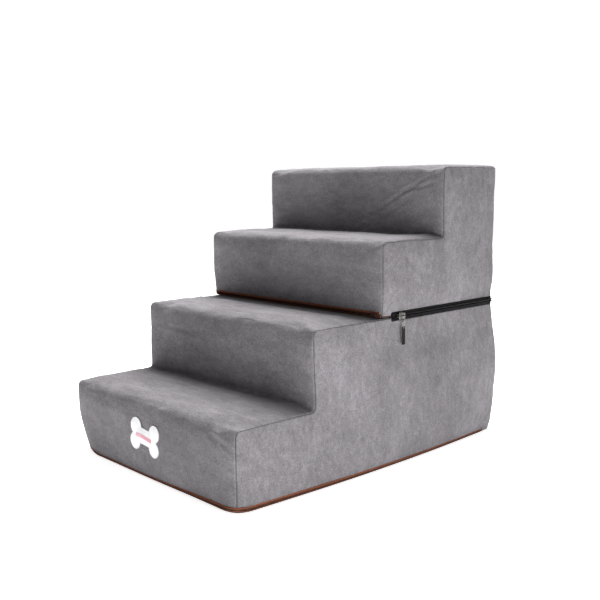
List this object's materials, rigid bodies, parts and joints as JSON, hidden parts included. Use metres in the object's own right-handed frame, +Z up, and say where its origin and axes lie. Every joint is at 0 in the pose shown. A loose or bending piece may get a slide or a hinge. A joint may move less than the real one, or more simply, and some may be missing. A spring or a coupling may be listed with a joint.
{
  "type": "foam pet stairs",
  "caption": "Soft foam pet stairs: two stepped fabric-covered foam units zipped together, with zip-off bases and a bone-shaped patch.",
  "frame": {"origin": "middle of the floor face, under the lower unit's base panel", "axes": "+Z up, -Y the way the first step faces, +X the stairs' right side seen by someone who climbs them"},
  "size_m": [0.3737, 0.5048, 0.4],
  "materials": {
    "suede": "matte",
    "foam": "matte",
    "anti_slip_base": "matte",
    "brown_tape": "matte",
    "brown_coil": "satin",
    "black_tape": "matte",
    "black_coil": "satin",
    "nickel": "satin",
    "gunmetal": "satin",
    "brown_metal": "satin",
    "patch": "matte",
    "embroidery": "satin"
  },
  "bodies": {
    "lower_unit": {"lower_foam_core": "foam", "lower_step_panel": "suede", "lower_left_side_panel": "suede", "lower_right_side_panel": "suede", "lower_back_panel": "suede", "lower_base_panel": "anti_slip_base", "lower_base_zip_base_tape": "brown_tape", "lower_base_zip_base_coil": "brown_coil", "lower_base_zip_base_top_stop": "brown_metal", "lower_base_zip_cover_tape": "brown_tape", "lower_base_zip_cover_coil": "brown_coil", "lower_base_zip_cover_top_stop": "brown_metal", "lower_base_zip_bottom_stop": "brown_metal", "joining_zip_lower_tape": "black_tape", "joining_zip_lower_coil": "black_coil", "joining_zip_lower_top_stop": "nickel", "joining_zip_retainer_box": "nickel", "bone_patch": "patch", "bone_patch_motif": "embroidery"},
    "upper_unit": {"upper_foam_core": "foam", "upper_step_panel": "suede", "upper_left_side_panel": "suede", "upper_right_side_panel": "suede", "upper_back_panel": "suede", "upper_base_panel": "anti_slip_base", "upper_base_zip_base_tape": "brown_tape", "upper_base_zip_base_coil": "brown_coil", "upper_base_zip_base_top_stop": "brown_metal", "upper_base_zip_cover_tape": "brown_tape", "upper_base_zip_cover_coil": "brown_coil", "upper_base_zip_cover_top_stop": "brown_metal", "upper_base_zip_bottom_stop": "brown_metal", "joining_zip_upper_tape": "black_tape", "joining_zip_upper_coil": "black_coil", "joining_zip_upper_top_stop": "nickel", "joining_zip_insertion_pin": "nickel"},
    "joining_zip_slider": {"joining_zip_slider": "nickel"},
    "joining_zip_pull_ring": {"joining_zip_pull_ring": "nickel"},
    "joining_zip_pull_tab": {"joining_zip_pull_tab": "gunmetal"},
    "lower_base_zip_slider": {"lower_base_zip_slider": "brown_metal"},
    "lower_base_zip_pull": {"lower_base_zip_pull": "brown_metal"},
    "upper_base_zip_slider": {"upper_base_zip_slider": "brown_metal"},
    "upper_base_zip_pull": {"upper_base_zip_pull": "brown_metal"}
  },
  "joints": [
    {"name": "upper_unit_lift", "type": "slide", "parent": "lower_unit", "child": "upper_unit", "axis": [0, 0, 1], "range_m": [0, 0.25]},
    {"name": "joining_zip_slide", "type": "slide", "parent": "lower_unit", "child": "joining_zip_slider", "axis": [0, 1, 0], "range_m": [0, 0.19]},
    {"name": "joining_zip_ring_swing", "type": "hinge", "parent": "joining_zip_slider", "child": "joining_zip_pull_ring", "pos_m": [0.1857, 0.036, 0.2], "axis": [0, -1, 0], "range_deg": [0, 150]},
    {"name": "joining_zip_tab_swing", "type": "hinge", "parent": "joining_zip_pull_ring", "child": "joining_zip_pull_tab", "pos_m": [0.1857, 0.036, 0.19365], "axis": [1, 0, 0], "range_deg": [-60, 60]},
    {"name": "lower_base_zip_slide", "type": "slide", "parent": "lower_unit", "child": "lower_base_zip_slider", "axis": [0, -1, 0], "range_m": [0, 0.44]},
    {"name": "lower_base_zip_pull_flip", "type": "hinge", "parent": "lower_base_zip_slider", "child": "lower_base_zip_pull", "pos_m": [-0.18455, 0.218, 0.0053], "axis": [0, 0, 1], "range_deg": [0, 150]},
    {"name": "upper_base_zip_slide", "type": "slide", "parent": "upper_unit", "child": "upper_base_zip_slider", "axis": [-1, 0, 0], "range_m": [0, 0.32]},
    {"name": "upper_base_zip_pull_flip", "type": "hinge", "parent": "upper_base_zip_slider", "child": "upper_base_zip_pull", "pos_m": [0.1672, -0.00455, 0.2033], "axis": [0, 0, -1], "range_deg": [0, 150]}
  ]
}
